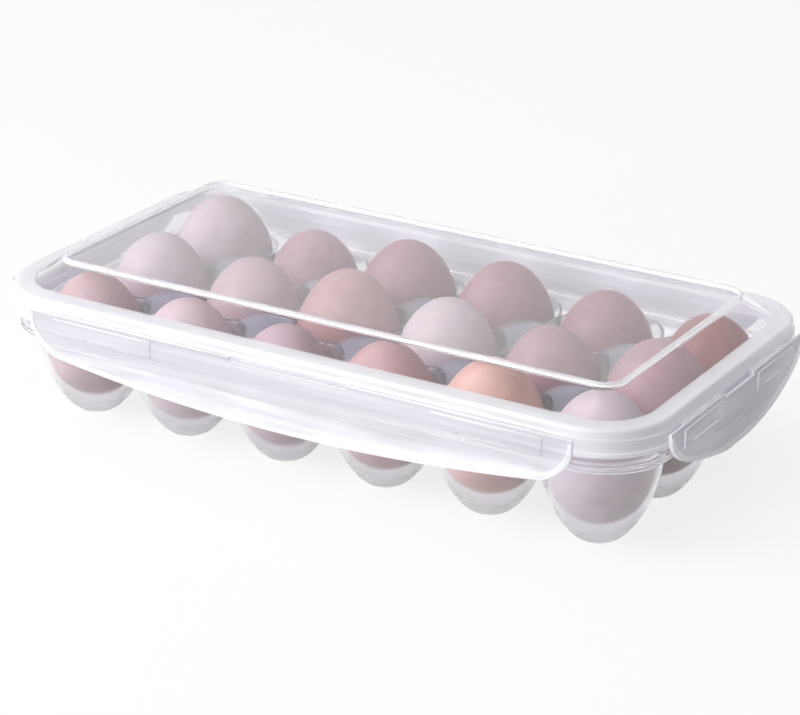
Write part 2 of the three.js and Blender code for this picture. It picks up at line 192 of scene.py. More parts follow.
def outline(half_x, half_y, radius, z, steps):
    """A rounded rectangle with the same number of points whatever its size."""
    points = []
    for quarter, (sx, sy) in enumerate([(1, 1), (-1, 1), (-1, -1), (1, -1)]):
        for k in range(steps + 1):
            angle = (quarter + k / steps) * math.pi / 2
            points.append((sx * (half_x - radius) + radius * math.cos(angle),
                           sy * (half_y - radius) + radius * math.sin(angle), z))
    return points


def loft(name, rings):
    """A closed skin through rings with the same number of points, capped at both ends."""
    count = len(rings[0])
    verts = [p for ring in rings for p in ring]
    faces = []
    for r in range(len(rings) - 1):
        for k in range(count):
            a, b = r * count + k, r * count + (k + 1) % count
            faces.append((a, b, b + count, a + count))
    faces.append(tuple(range(count))[::-1])
    faces.append(tuple(range((len(rings) - 1) * count, len(rings) * count)))
    return new_piece(name, verts, faces)


def slab(name, near, far):
    """A closed bar between two copies of the same outline."""
    count = len(near)
    faces = [(k, (k + 1) % count, (k + 1) % count + count, k + count) for k in range(count)]
    faces += [tuple(range(count))[::-1], tuple(range(count, 2 * count))]
    return new_piece(name, near + far, faces)


def prism(name, section, start, end):
    """A closed bar along X whose section is given as outward and up."""
    return slab(name, *([(x, -out, up) for out, up in section] for x in (start, end)))


def plate(name, line, reach):
    """A closed plate whose outline lies in X and Z and that reaches as far in front as behind."""
    return slab(name, *([(x, y, z) for x, z in line] for y in (-reach, reach)))


def turned(profile, facets, centre):
    """Points and faces of a closed turned shape; the profile starts and ends on the axis."""
    cx, cy = centre
    verts = [(cx, cy, profile[0][1])]
    for r, z in profile[1:-1]:
        for k in range(facets):
            angle = 2 * math.pi * k / facets
            verts.append((cx + r * math.cos(angle), cy + r * math.sin(angle), z))
    verts.append((cx, cy, profile[-1][1]))
    faces = [(0, 1 + (k + 1) % facets, 1 + k) for k in range(facets)]
    rings = len(profile) - 2
    for r in range(rings - 1):
        for k in range(facets):
            a, b = 1 + r * facets + k, 1 + r * facets + (k + 1) % facets
            faces.append((a, b, b + facets, a + facets))
    last, base = len(verts) - 1, 1 + (rings - 1) * facets
    faces += [(last, base + k, base + (k + 1) % facets) for k in range(facets)]
    return verts, faces


def revolved(name, profile, facets, centres):
    """The same turned shape at every centre, as one piece."""
    verts, faces = [], []
    for centre in centres:
        v, f = turned(profile, facets, centre)
        faces += [tuple(i + len(verts) for i in face) for face in f]
        verts += v
    return new_piece(name, verts, faces)


def apply_modifiers(piece):
    graph = bpy.context.evaluated_depsgraph_get()
    graph.update()
    result = bpy.data.meshes.new_from_object(piece.evaluated_get(graph))
    piece.modifiers.clear()
    old = piece.data
    piece.data = result
    bpy.data.meshes.remove(old)


def boolean(piece, cutter, operation):
    """Joins the cutter to the piece, or takes it away; the cutter is then gone."""
    modifier = piece.modifiers.new("cut", "BOOLEAN")
    modifier.operation = operation
    modifier.object = cutter
    modifier.solver = "MANIFOLD"
    apply_modifiers(piece)
    bpy.data.objects.remove(cutter)
    return piece


def join_self(name, profile, facets, centres):
    """Turned shapes at every centre, joined where they overlap."""
    whole = revolved(name, profile, facets, centres[0::2])
    return boolean(whole, revolved(name + "_b", profile, facets, centres[1::2]), "UNION")


def rounded_edges(piece, width, degrees=55, segments=2):
    modifier = piece.modifiers.new("round", "BEVEL")
    modifier.width = width * MM
    modifier.segments = segments
    modifier.limit_method = "ANGLE"
    modifier.angle_limit = math.radians(degrees)
    modifier.use_clamp_overlap = True
    modifier.harden_normals = False
    apply_modifiers(piece)


def smooth(piece, degrees=32):
    for polygon in piece.data.polygons:
        polygon.use_smooth = True
    piece.data.set_sharp_from_angle(angle=math.radians(degrees))


def dress(piece, *materials):
    """Gives a piece its materials, the first one on every face."""
    piece.data.materials.clear()
    for material in materials:
        piece.data.materials.append(material)
    piece.data.polygons.foreach_set("material_index", [0] * len(piece.data.polygons))


# Tray

cup_centres = [((c - (CUP_COLUMNS - 1) / 2) * CUP_PITCH, (r - (CUP_ROWS - 1) / 2) * CUP_PITCH)
               for r in range(CUP_ROWS) for c in range(CUP_COLUMNS)]
post_centres = [((c + 1 - CUP_COLUMNS / 2) * CUP_PITCH, (r + 1 - CUP_ROWS / 2) * CUP_PITCH)
                for r in range(CUP_ROWS - 1) for c in range(CUP_COLUMNS - 1)]


def checker(centres):
    """The cups in an order that never puts two neighbours in the same half."""
    black, white = [], []
    for k, centre in enumerate(centres):
        (black, white)[(k % CUP_COLUMNS + k // CUP_COLUMNS) % 2].append(centre)
    return [centre for pair in zip(black, white) for centre in pair]


def cup_curve():
    """The outside of a cup from its foot to its mouth, as radius and height."""
    points = []
    for k in range(CUP_STEPS + 1):
        angle = k / CUP_STEPS * math.pi / 2
        points.append((CUP_FOOT + (CUP_MOUTH - CUP_FOOT) * math.sin(angle) ** CUP_POWER,
                       CUP_ROUND * (1 - max(math.cos(angle), 0) ** CUP_POWER)))
    return np.array(points)


def offset_in(points, distance):
    """The cup's curve moved inward, square to itself."""
    along = np.gradient(points, axis=0)
    along[0] = (1, 0)
    along[-1] = (0, 1)
    along /= np.linalg.norm(along, axis=1)[:, None]
    return points + distance * np.stack([-along[:, 1], along[:, 0]], 1)


def post_dome(radius, height, base):
    """A spherical cap of the given rise above the deck, upright below it down to the base."""
    ball = (radius ** 2 + height ** 2) / (2 * height)
    points = [(0, base), (radius, base)]
    for k in range(POST_STEPS, -1, -1):
        angle = math.asin(radius / ball) * k / POST_STEPS
        points.append((ball * math.sin(angle), DECK + height - ball * (1 - math.cos(angle))))
    return points


def tray_ring(out, z):
    grown = out + TRAY_DRAFT * max(z - DECK, 0) / (RIM - DECK)
    return outline(TRAY_HALF_X + grown, TRAY_HALF_Y + grown, TRAY_CORNER + grown, z, TRAY_CORNER_STEPS)


def build_tray():
    # Line of the deck's edge, lip, wall and rim, as outward and up, and the radius of each corner
    deck_end, under, rim_bottom = -4, DECK - TRAY_WALL, RIM - RIM_THICKNESS
    line = [(deck_end, under), (-TRAY_WALL / 2, under), (-TRAY_WALL / 2, LIP_BOTTOM), (LIP_REACH, LIP_BOTTOM),
            (LIP_REACH, DECK), (0, DECK), (0, rim_bottom), (RIM_REACH, rim_bottom),
            (RIM_REACH, RIM), (-TRAY_WALL, RIM), (-TRAY_WALL, DECK), (deck_end, DECK)]
    radii = [0, 0.1, 0.3, 0.5, 0.5, 0.5, 0.3, 0.35, 0.4, 0.4, 0.8, 0]
    tray = loft("tray_shell", [tray_ring(out, z) for out, z in fillet(line, radii, 3)])

    # The mouth of a cup rolls over into the deck along these steps, outward and up
    mouth_round = [(0, -0.8), (0.05, -0.55), (0.16, -0.3), (0.32, -0.12), (0.5, 0)]
    mouth = CUP_MOUTH - TRAY_WALL
    above = DECK + POST_HEIGHT + OVERRUN
    cup_outer = cup_curve()
    cup_inner = offset_in(cup_outer, TRAY_WALL)

    def closed_cup(curve, top):
        start, end = curve[0], curve[-1]
        return [(0, start[1]), *(tuple(p) for p in curve), (end[0], top), (0, top)]

    outer = closed_cup(cup_outer, DECK - TRAY_WALL / 2)
    tall = closed_cup(cup_outer, above)
    rolled = [*cup_inner, *((mouth + out, DECK + up) for out, up in mouth_round)]
    hollow = [(0, TRAY_WALL), *(tuple(p) for p in rolled), (mouth + mouth_round[-1][0], above), (0, above)]
    post = post_dome(POST_RADIUS, POST_HEIGHT, DECK + mouth_round[0][1])
    core = post_dome(POST_RADIUS - TRAY_WALL, POST_HEIGHT - TRAY_WALL, DECK - POST_HEIGHT)

    boolean(tray, join_self("cups", outer, CUP_FACETS, checker(cup_centres)), "UNION")
    boolean(tray, revolved("posts", post, POST_FACETS, post_centres), "UNION")
    cores = revolved("cores", core, POST_FACETS, post_centres)
    boolean(cores, join_self("tall", tall, CUP_FACETS, checker(cup_centres)), "DIFFERENCE")
    boolean(tray, cores, "DIFFERENCE")
    boolean(tray, revolved("hollows", hollow, CUP_FACETS, cup_centres), "DIFFERENCE")
    smooth(tray)
    return tray


# Lid

def lid_ring(inset, z):
    """A ring of the lid at a distance inside its outer edge, with the corner radius that belongs there."""
    if inset <= FLANGE_WIDTH:
        radius = LID_CORNER - inset
    elif inset <= PANEL_INSET:
        share = (inset - FLANGE_WIDTH) / (PANEL_INSET - FLANGE_WIDTH)
        radius = FLANGE_CORNER + (PANEL_CORNER - FLANGE_CORNER) * share
    else:
        radius = PANEL_CORNER - (inset - PANEL_INSET)
    return outline(LID_HALF_X - inset, LID_HALF_Y - inset, radius, z, LID_CORNER_STEPS)


def build_lid():
    # Line from the panel's underside round the skirt to its top, as inset and height, with the corners' radii
    panel_end, dome_corner = 30, PANEL_INSET + 0.7
    under_panel, under_flange = PANEL_TOP - LID_WALL, FLANGE_TOP - LID_WALL
    plug_root = LID_OUTSET + TRAY_WALL
    plug_out = plug_root + PLUG_CLEARANCE
    plug_in, plug_low = plug_out + PLUG_THICKNESS, under_flange - PLUG_DEPTH
    step, below_step = FLANGE_TOP - SKIRT_STEP_DROP, FLANGE_TOP - SKIRT_STEP_DROP - SKIRT_STEP
    bead_out, bead_top = -SKIRT_STEP - SKIRT_BEAD, SKIRT_BOTTOM + SKIRT_BEAD_HEIGHT
    corners = [
        (panel_end, under_panel, 0), (dome_corner, under_panel, 2.2),
        (FLANGE_WIDTH + LID_WALL / 2, under_flange, 2.0),
        (plug_in, under_flange, 0.3), (plug_in, plug_low, 0.4), (plug_out, plug_low, 0.4),
        (plug_root, under_flange, 0.3), (LID_WALL, under_flange, 1.0),
        (LID_WALL, step, 0.6), (LID_WALL - SKIRT_STEP, below_step, 0.6),
        (LID_WALL - SKIRT_STEP, SKIRT_BOTTOM, 0.3), (bead_out, SKIRT_BOTTOM, 0.5),
        (bead_out, bead_top, 0.5), (-SKIRT_STEP, bead_top + SKIRT_BEAD_SLOPE, 0.5),
        (-SKIRT_STEP, below_step, 0.5), (0, step, 0.6),
        (0, FLANGE_TOP, 1.9), (FLANGE_WIDTH, FLANGE_TOP, 1.6),
        (PANEL_INSET, PANEL_TOP, 1.2), (panel_end, PANEL_TOP, 0),
    ]
    profile = fillet([corner[:2] for corner in corners], [corner[2] for corner in corners], 4)
    lid = loft("lid_shell", [lid_ring(inset, z) for inset, z in profile])
    for latch in LATCHES.values():
        add_webs(lid, latch)
    smooth(lid)
    return lid


def build_ridge():
    """The stacking ridge on the panel, a ring with rounded edges."""
    lift, soft, soft_share = 0.02, 0.55, 0.3
    low, high, inner = PANEL_TOP + lift, PANEL_TOP + RIDGE_HEIGHT, PANEL_INSET + RIDGE_WIDTH
    outside = [(PANEL_INSET, low), (PANEL_INSET, high - soft),
               (PANEL_INSET + soft_share * soft, high - soft_share * soft), (PANEL_INSET + soft, high)]
    inside = [(inner, low - 1), (inner, high - soft),
              (inner - soft_share * soft, high - soft_share * soft), (inner - soft, high), (inner - soft, high + 1)]
    ridge = loft("lid_ridge", [lid_ring(inset, z) for inset, z in outside])
    boolean(ridge, loft("ridge_inside", [lid_ring(inset, z) for inset, z in inside]), "DIFFERENCE")
    smooth(ridge)
    return ridge


def add_webs(lid, latch):
    """Webs of the living hinge, on both sides of the notch."""
    near, far, half = LID_OUTSET - LID_WALL / 2, LID_OUTSET + SKIRT_STEP + SKIRT_BEAD, WEB_THICKNESS / 2
    section = [(near, -half), (far, -half), (far, half), (near, half)]
    outer, inner = latch["length"] / 2 - FLAP_CORNER, latch["notch"] / 2
    for start, end in ((-outer, -inner), (inner, outer)):
        boolean(lid, seated(prism("web", section, start, end), latch, 0), "UNION")


# Latch flaps. Local frame: hinge axis along X, outward -Y, up +Z.

def seated(piece, latch, out):
    """The piece turned to its side of the box and moved out from the tray wall."""
    turn = Matrix.Rotation(latch["quarter_turns"] * math.pi / 2, 4, "Z")
    place = Matrix.Translation((0, -(latch["wall"] + out) * MM, HINGE_Z * MM))
    piece.data.transform(turn @ place)
    return piece


def flap_outline(latch, inset=0):
    """Front outline of a flap; its ends and its lower edge move in by the inset."""
    half, notch, top = latch["length"] / 2 - inset, latch["notch"] / 2, LATCH_WALL / 2
    depth, end_depth = latch["depth"] - inset, latch["end_depth"] - inset
    bow_half, bow = half - FLAP_CORNER, depth - end_depth
    radius = (bow_half ** 2 + bow ** 2) / (2 * bow)
    swing = math.asin(bow_half / radius)
    corner_top, handle = FLAP_CORNER - end_depth, FLAP_CORNER * FLAP_CORNER_HANDLE_SHARE
    a = np.array((half, corner_top))
    b = np.array((half, corner_top - handle))
    c = np.array((bow_half + handle * math.cos(swing), handle * math.sin(swing) - end_depth))
    d = np.array((bow_half, -end_depth))
    side = [(half, top)]
    for k in range(FLAP_CORNER_STEPS + 1):
        t = k / FLAP_CORNER_STEPS
        side.append(tuple((1 - t) ** 3 * a + 3 * t * (1 - t) ** 2 * b + 3 * t * t * (1 - t) * c + t ** 3 * d))
    bottom = []
    for k in range(1, FLAP_BOW_STEPS):
        angle = swing * (1 - 2 * k / FLAP_BOW_STEPS)
        bottom.append((radius * math.sin(angle), radius * (1 - math.cos(angle)) - depth))
    beside = notch + OVERRUN
    notch_line = fillet([(-beside, top), (-notch, top), (-notch, -NOTCH_DEPTH),
                         (notch, -NOTCH_DEPTH), (notch, top), (beside, top)], [0, 0.5, 0.7, 0.7, 0.5, 0], 4)
    mirrored = [(-x, z) for x, z in side[::-1]]
    return side + bottom + mirrored + [tuple(p) for p in notch_line[1:-1]]


def leaning(start, latch, first):
    """A face of the flap from a first point down to the crease and on along the flare, with a soft crease."""
    low = latch["depth"] + FLAP_OVERRUN
    shift = FLARE_REACH * (low - FLARE_DROP) / (latch["depth"] - FLARE_DROP)
    line = first + [(start, -FLARE_DROP), (start + shift, -low)]
    radii = [0] + [0.4] * (len(first) - 1) + [6, 0]
    return [tuple(p) for p in fillet(line, radii, 6)]


def flap_section(latch):
    """Side section of a flap: a round hinge edge, an upright wall and the flare below the crease."""
    half = LATCH_WALL / 2
    outer, inner = leaning(half, latch, [(half, 0)]), leaning(-half, latch, [(-half, 0)])
    angles = [k / FLAP_CROWN_STEPS * math.pi for k in range(FLAP_CROWN_STEPS + 1)]
    crown = [(half * math.cos(angle), half * math.sin(angle)) for angle in angles]
    return crown + inner[1:] + outer[::-1][:-1]


def bead_section(latch):
    """Side section of the raised bead that runs round the ends and the lower edge of a flap."""
    proud = LATCH_WALL / 2 + BEAD_THICKNESS
    outer = leaning(proud, latch, [(0, PAD_TOP), (proud, PAD_TOP)])
    inner = leaning(0, latch, [(0, PAD_TOP - 1)])
    return outer + inner[::-1]


def paint_edge_highlights(flap, latch):
    """The turned edges of a flap and its bead take the whiter second material, a painted highlight along them."""
    margin, face_on = 0.2, 0.85
    for polygon in flap.data.polygons:
        x, outward, drop = abs(polygon.center.x) / MM, -polygon.center.y / MM, -polygon.center.z / MM
        lean = FLARE_REACH * max(drop - FLARE_DROP, 0) / (latch["depth"] - FLARE_DROP)
        on_pad = drop < margin - PAD_BOTTOM and abs(x - latch["pad"]) < latch["pad_length"] / 2 + margin
        on_bead = outward - lean > LATCH_WALL / 2 + BEAD_THICKNESS / 2 and not on_pad
        polygon.material_index = 1 if on_bead or abs(polygon.normal.y) < face_on else 0


def build_flap(name, latch):
    half, span = LATCH_WALL / 2, latch["length"] / 2 + OVERRUN
    flap = plate(name, flap_outline(latch), PLATE_REACH)
    boolean(flap, prism("section", flap_section(latch), -span, span), "INTERSECT")
    bead = plate("bead", flap_outline(latch), PLATE_REACH)
    boolean(bead, plate("bead_inside", flap_outline(latch, BEAD_WIDTH), PLATE_REACH + 2), "DIFFERENCE")
    boolean(bead, prism("bead_section", bead_section(latch), -span, span), "INTERSECT")
    boolean(flap, bead, "UNION")

    proud, catch_low = half + PAD_THICKNESS, CATCH_TOP - CATCH_THICKNESS
    slot_low, slot_reach = PAD_BOTTOM + SLOT_INSET, 9
    slot_top = slot_low + SLOT_HEIGHT
    pad = fillet([(0, PAD_TOP), (proud, PAD_TOP), (proud, PAD_BOTTOM), (0, PAD_BOTTOM)], [0, 0.8, 0.35, 0], 4)
    rib = fillet([(0, CATCH_TOP), (CATCH_TIP, CATCH_TOP), (CATCH_TIP, CATCH_TOP - CATCH_THICKNESS / 2),
                  (-half, catch_low), (0, catch_low)], [0, 0.4, 0.4, 0.5, 0], 3)
    slot = [(-slot_reach, slot_top), (slot_reach, slot_top), (slot_reach, slot_low), (-slot_reach, slot_low)]
    for side in (-1, 1):
        for key, section, operation in (("pad", pad, "UNION"), ("catch", rib, "UNION"), ("slot", slot, "DIFFERENCE")):
            centre, reach = side * latch[key], latch[key + "_length"] / 2
            boolean(flap, prism(key, section, centre - reach, centre + reach), operation)
    rounded_edges(flap, 0.3)
    dress(flap, flap_frosted_painted_shade, flap_edge_highlight)
    paint_edge_highlights(flap, latch)
    seated(flap, latch, HINGE_OUT)
    smooth(flap)
    return flap


# Eggs

def build_egg(node):
    """A finer egg in the place and at the size of the model's."""
    low, high = (np.array(corner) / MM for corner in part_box(node))
    centre = (low + high) / 2
    share = (high - low)[2] / EGG_HEIGHT
    profile = []
    for k in range(EGG_STEPS + 1):
        angle = k / EGG_STEPS * math.pi
        radius = EGG_DIAMETER / 2 * math.sin(angle) * (1 + EGG_TAPER * math.cos(angle))
        profile.append((max(radius, 0) * share, low[2] + EGG_HEIGHT / 2 * (1 - math.cos(angle)) * share))
    egg = revolved("shell_" + node, profile, EGG_FACETS, [(centre[0], centre[1])])
    for polygon in egg.data.polygons:
        polygon.use_smooth = True
    return egg


# Node helpers

def node_material(name):
    material = bpy.data.materials.new(name)
    material.use_nodes = True
    tree = material.node_tree
    tree.nodes.clear()
    output = tree.nodes.new("ShaderNodeOutputMaterial")
    return material, tree, output


def srgb(code):
    values = [((code >> shift) & 255) / 255 for shift in (16, 8, 0)]
    return [v / 12.92 if v <= 0.04045 else ((v + 0.055) / 1.055) ** 2.4 for v in values]


def noise(tree, place, scale, detail=2.0, stretch=None):
    node = tree.nodes.new("ShaderNodeTexNoise")
    node.inputs["Scale"].default_value = scale
    node.inputs["Detail"].default_value = detail
    if stretch:
        mapping = tree.nodes.new("ShaderNodeMapping")
        mapping.inputs["Scale"].default_value = stretch
        tree.links.new(place, mapping.inputs["Vector"])
        place = mapping.outputs["Vector"]
    tree.links.new(place, node.inputs["Vector"])
    return node.outputs["Fac"]


def spread(tree, source, low, high, from_low=0.3, from_high=0.7):
    """The source's values from one range mapped to another; noise mostly lies between 0.3 and 0.7."""
    node = tree.nodes.new("ShaderNodeMapRange")
    for key, value in (("From Min", from_low), ("From Max", from_high), ("To Min", low), ("To Max", high)):
        node.inputs[key].default_value = value
    tree.links.new(source, node.inputs["Value"])
    return node.outputs["Result"]


def bumped(tree, height, distance, strength=1.0, below=None):
    node = tree.nodes.new("ShaderNodeBump")
    node.inputs["Distance"].default_value = distance
    node.inputs["Strength"].default_value = strength
    tree.links.new(height, node.inputs["Height"])
    if below is not None:
        tree.links.new(below, node.inputs["Normal"])
    return node.outputs["Normal"]


def blend_colour(tree, factor, first, second):
    """A blend of two colours; the first may also be the output of another blend."""
    node = tree.nodes.new("ShaderNodeMix")
    node.data_type = "RGBA"
    tree.links.new(factor, node.inputs["Factor"])
    if hasattr(first, "links"):
        tree.links.new(first, node.inputs["A"])
    else:
        node.inputs["A"].default_value = (*first, 1)
    node.inputs["B"].default_value = (*second, 1)
    return node.outputs["Result"]


def blend_shaders(tree, factor, first, second, output):
    mix = tree.nodes.new("ShaderNodeMixShader")
    tree.links.new(factor, mix.inputs["Fac"])
    tree.links.new(first, mix.inputs[1])
    tree.links.new(second, mix.inputs[2])
    tree.links.new(mix.outputs["Shader"], output.inputs["Surface"])


def seen_directly(tree, share):
    """The share for rays from the camera, also by way of gloss or clear plastic, and otherwise nothing."""
    light = tree.nodes.new("ShaderNodeLightPath")
    total = light.outputs["Is Camera Ray"]
    for key in ("Is Glossy Ray", "Is Transmission Ray"):
        node = tree.nodes.new("ShaderNodeMath")
        node.operation = "MAXIMUM"
        tree.links.new(total, node.inputs[0])
        tree.links.new(light.outputs[key], node.inputs[1])
        total = node.outputs["Value"]
    node = tree.nodes.new("ShaderNodeMath")
    node.operation = "MULTIPLY"
    node.inputs[1].default_value = share
    tree.links.new(total, node.inputs[0])
    return node.outputs["Value"]


# Materials

def clear_plastic(name, colours, clearness, roughness, wave, stretch, shade, by_height=(), ior=1.5):
    """Clear moulded polymer: faint flow streaks in tint and gloss, soft waves in the surface.

    The wave is in millimetres and the shade tints its shadow. Each row of by_height names a value
    of the shader, two heights in millimetres and the value at each of them.
    """
    material, tree, output = node_material(name)
    place = tree.nodes.new("ShaderNodeTexCoord").outputs["Object"]
    streaks = noise(tree, place, 60, 2.0, stretch)
    waves = noise(tree, place, 30, 0.0)
    shader = tree.nodes.new("ShaderNodeBsdfPrincipled")
    tree.links.new(blend_colour(tree, spread(tree, streaks, 0, 1), *colours), shader.inputs["Base Color"])
    tree.links.new(spread(tree, streaks, *roughness), shader.inputs["Roughness"])
    shader.inputs["Transmission Weight"].default_value = clearness
    shader.inputs["IOR"].default_value = ior
    if by_height:
        height = tree.nodes.new("ShaderNodeSeparateXYZ")
        tree.links.new(place, height.inputs["Vector"])
        for key, low, high, at_low, at_high in by_height:
            value = spread(tree, height.outputs["Z"], at_low, at_high, low * MM, high * MM)
            tree.links.new(value, shader.inputs[key])
    tree.links.new(bumped(tree, waves, wave * MM), shader.inputs["Normal"])
    light = tree.nodes.new("ShaderNodeLightPath")
    through = tree.nodes.new("ShaderNodeBsdfTransparent")
    through.inputs["Color"].default_value = (*shade, 1)
    blend_shaders(tree, light.outputs["Is Shadow Ray"], shader.outputs["BSDF"], through.outputs["BSDF"], output)
    return material


def egg_shell(name, code, seed):
    """Matt shell: broad drifts of tint, a paler bloom, small freckles and fine pores."""
    material, tree, output = node_material(name)
    coordinates = tree.nodes.new("ShaderNodeTexCoord").outputs["Object"]
    mapping = tree.nodes.new("ShaderNodeMapping")
    mapping.inputs["Location"].default_value = (seed * 0.37, seed * 0.21, seed * 0.11)
    tree.links.new(coordinates, mapping.inputs["Vector"])
    place = mapping.outputs["Vector"]
    base = np.array(srgb(code))
    deep = base * np.array((0.86, 0.80, 0.78))
    bloom = np.minimum(base * np.array((1.10, 1.13, 1.16)), 0.95)
    drift = spread(tree, noise(tree, place, 34, 2.0), 0, 1)
    cloud = spread(tree, noise(tree, place, 120, 3.0), 0, 0.55, 0.45, 0.75)
    freckle = spread(tree, noise(tree, place, 900, 1.0), 0, 0.30, 0.62, 0.72)
    colour = blend_colour(tree, drift, deep, base)
    colour = blend_colour(tree, cloud, colour, bloom)
    colour = blend_colour(tree, freckle, colour, base * 0.62)
    shader = tree.nodes.new("ShaderNodeBsdfPrincipled")
    tree.links.new(colour, shader.inputs["Base Color"])
    tree.links.new(spread(tree, noise(tree, place, 260, 2.0), 0.46, 0.62), shader.inputs["Roughness"])
    shader.inputs["IOR"].default_value = 1.45
    shader.inputs["Subsurface Weight"].default_value = 0.12
    shader.inputs["Subsurface Radius"].default_value = (1.0, 0.45, 0.3)
    shader.inputs["Subsurface Scale"].default_value = 0.0025
    grain = bumped(tree, noise(tree, place, 700, 2.0), 0.03 * MM, 0.6)
    pores = bumped(tree, noise(tree, place, 2200, 2.0), 0.02 * MM, 0.6, grain)
    tree.links.new(pores, shader.inputs["Normal"])
    tree.links.new(shader.outputs["BSDF"], output.inputs["Surface"])
    return material


# Each pair of tints is the two ends that the flow streaks run between
CLEAR_TINTS = ((0.93, 0.917, 0.945), (0.96, 0.955, 0.97))
# The posts' darker, bluer tints are painted shade, the shadow that falls between the eggs
POST_SHADE_TINTS = ((0.44, 0.44, 0.52), (0.58, 0.58, 0.65))
FLANGE_TINTS = ((0.87, 0.87, 0.895), (0.93, 0.93, 0.945))
# The flaps are frosted, and their tints, greyer than the flange's, are painted shade so the flap on the shaded side
# reads grey; the fill lamp lifts the front one again
FLAP_SHADED_TINTS = ((0.665, 0.66, 0.70), (0.80, 0.80, 0.825))
# Whiter tints for the ridge, and on the flaps' turned edges and bead for a painted highlight
RIDGE_AND_EDGE_HIGHLIGHT_TINTS = ((0.90, 0.90, 0.92), (0.94, 0.94, 0.95))
# Cup feet and flaps turn milkier towards the bottom
FOOT = [("Transmission Weight", 2, 14, 0.90, 0.94), ("Roughness", 4, 20, 0.38, 0.05)]
FLAP = [("Transmission Weight", 38, 49, 0.50, 0.42)]

tray_clear = clear_plastic("tray_clear", CLEAR_TINTS, 1.0, (0.02, 0.06), wave=0.04, stretch=(1, 1, 3),
                           shade=(0.94, 0.935, 0.95), by_height=FOOT, ior=1.56)
# The posts' material: clear plastic darkened with painted shade
post_painted_shade = clear_plastic("post_painted_shade", POST_SHADE_TINTS, 0.78, (0.10, 0.20), wave=0.04, stretch=(1, 1, 3),
                           shade=(0.86, 0.85, 0.89))
lid_clear = clear_plastic("lid_clear", CLEAR_TINTS, 1.0, (0.02, 0.05), wave=0.03, stretch=(1, 2.5, 1),
                          shade=(0.95, 0.945, 0.96))
lid_frosted = clear_plastic("lid_frosted", FLANGE_TINTS, 0.55, (0.12, 0.26), wave=0.04, stretch=(0.15, 0.15, 8),
                            shade=(0.90, 0.90, 0.92))
lid_ridge = clear_plastic("lid_ridge", RIDGE_AND_EDGE_HIGHLIGHT_TINTS, 0.70, (0.06, 0.12), wave=0.02, stretch=(1, 1, 1),
                          shade=(0.94, 0.94, 0.95), ior=1.12)
# Frosted flap material, greyed with painted shade
flap_frosted_painted_shade = clear_plastic("flap_frosted_painted_shade", FLAP_SHADED_TINTS, 0.62, (0.10, 0.28), wave=0.05, stretch=(0.12, 0.12, 9),
                             shade=(0.88, 0.88, 0.90), by_height=FLAP)
# The flaps' turned edges and bead: whiter and milkier as a painted highlight
flap_edge_highlight = clear_plastic("flap_edge_highlight", RIDGE_AND_EDGE_HIGHLIGHT_TINTS, 0.3, (0.10, 0.22), wave=0.02, stretch=(0.12, 0.12, 9),
                          shade=(0.85, 0.85, 0.87))


def paint_posts(tray):
    """The posts between the cups take the second material, whose darker tints are painted shade."""
    for polygon in tray.data.polygons:
        x, y, z = (v / MM for v in polygon.center)
        near_post = min(math.hypot(x - px, y - py) for px, py in post_centres) < POST_RADIUS + 0.3
        polygon.material_index = 1 if near_post and z > DECK + 0.05 else 0


def paint_flange(lid):
    """The flange and everything outside it takes the second material."""
    straight_x = LID_HALF_X - FLANGE_WIDTH - FLANGE_CORNER
    straight_y = LID_HALF_Y - FLANGE_WIDTH - FLANGE_CORNER
    for polygon in lid.data.polygons:
        x, y = polygon.center.x / MM, polygon.center.y / MM
        dx, dy = abs(x) - straight_x, abs(y) - straight_y
        outside = math.hypot(max(dx, 0), max(dy, 0)) + min(max(dx, dy), 0) - FLANGE_CORNER
        polygon.material_index = 1 if outside > 0.01 else 0


# The pieces, each in place of the model's

tray = build_tray()
dress(tray, tray_clear, post_painted_shade)
paint_posts(tray)
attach(tray, "tray")
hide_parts("tray")

lid = build_lid()
dress(lid, lid_clear, lid_frosted)
paint_flange(lid)
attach(lid, "lid")
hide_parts("lid")

ridge = build_ridge()
dress(ridge, lid_ridge)
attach(ridge, "lid")
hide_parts("lid")

for side, latch in LATCHES.items():
    flap = build_flap("flap_" + side, latch)
    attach(flap, "latch_" + side)
    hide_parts("latch_" + side)

# Each egg has its own tone, row by row from the front left
SHELLS = {"blush": 0xb49d9f, "pearl_painted_veil": 0xc2afb6, "mauve": 0xb199a2, "salmon": 0xac8889, "peach": 0xc5a096,
          "pale": 0xbfb3ba, "lilac": 0xb5a6b0, "dusk": 0xa18088, "rose": 0x99727a, "russet": 0x915f5c,
          "coral": 0xb49495}
# Most tones are the eggs' own colours; the front row's pale pearl tone is partly painted light, made paler to stand
# for the veil that the lid's front slope reflects over that egg
EGG_TONES = [
    ["blush", "pearl_painted_veil", "mauve", "coral", "peach", "pale"],
    ["lilac", "mauve", "salmon", "pale", "dusk", "dusk"],
    ["lilac", "dusk", "rose", "rose", "rose", "russet"],
]
shells = {key: egg_shell("egg_" + key, code, k + 1) for k, (key, code) in enumerate(SHELLS.items())}
for row in range(CUP_ROWS):
    for column in range(CUP_COLUMNS):
        node = f"egg_row{row + 1}_column{column + 1}"
        egg = build_egg(node)
        dress(egg, shells[EGG_TONES[row][column]])
        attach(egg, "tray")
        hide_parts(node)


# Floor, light and camera

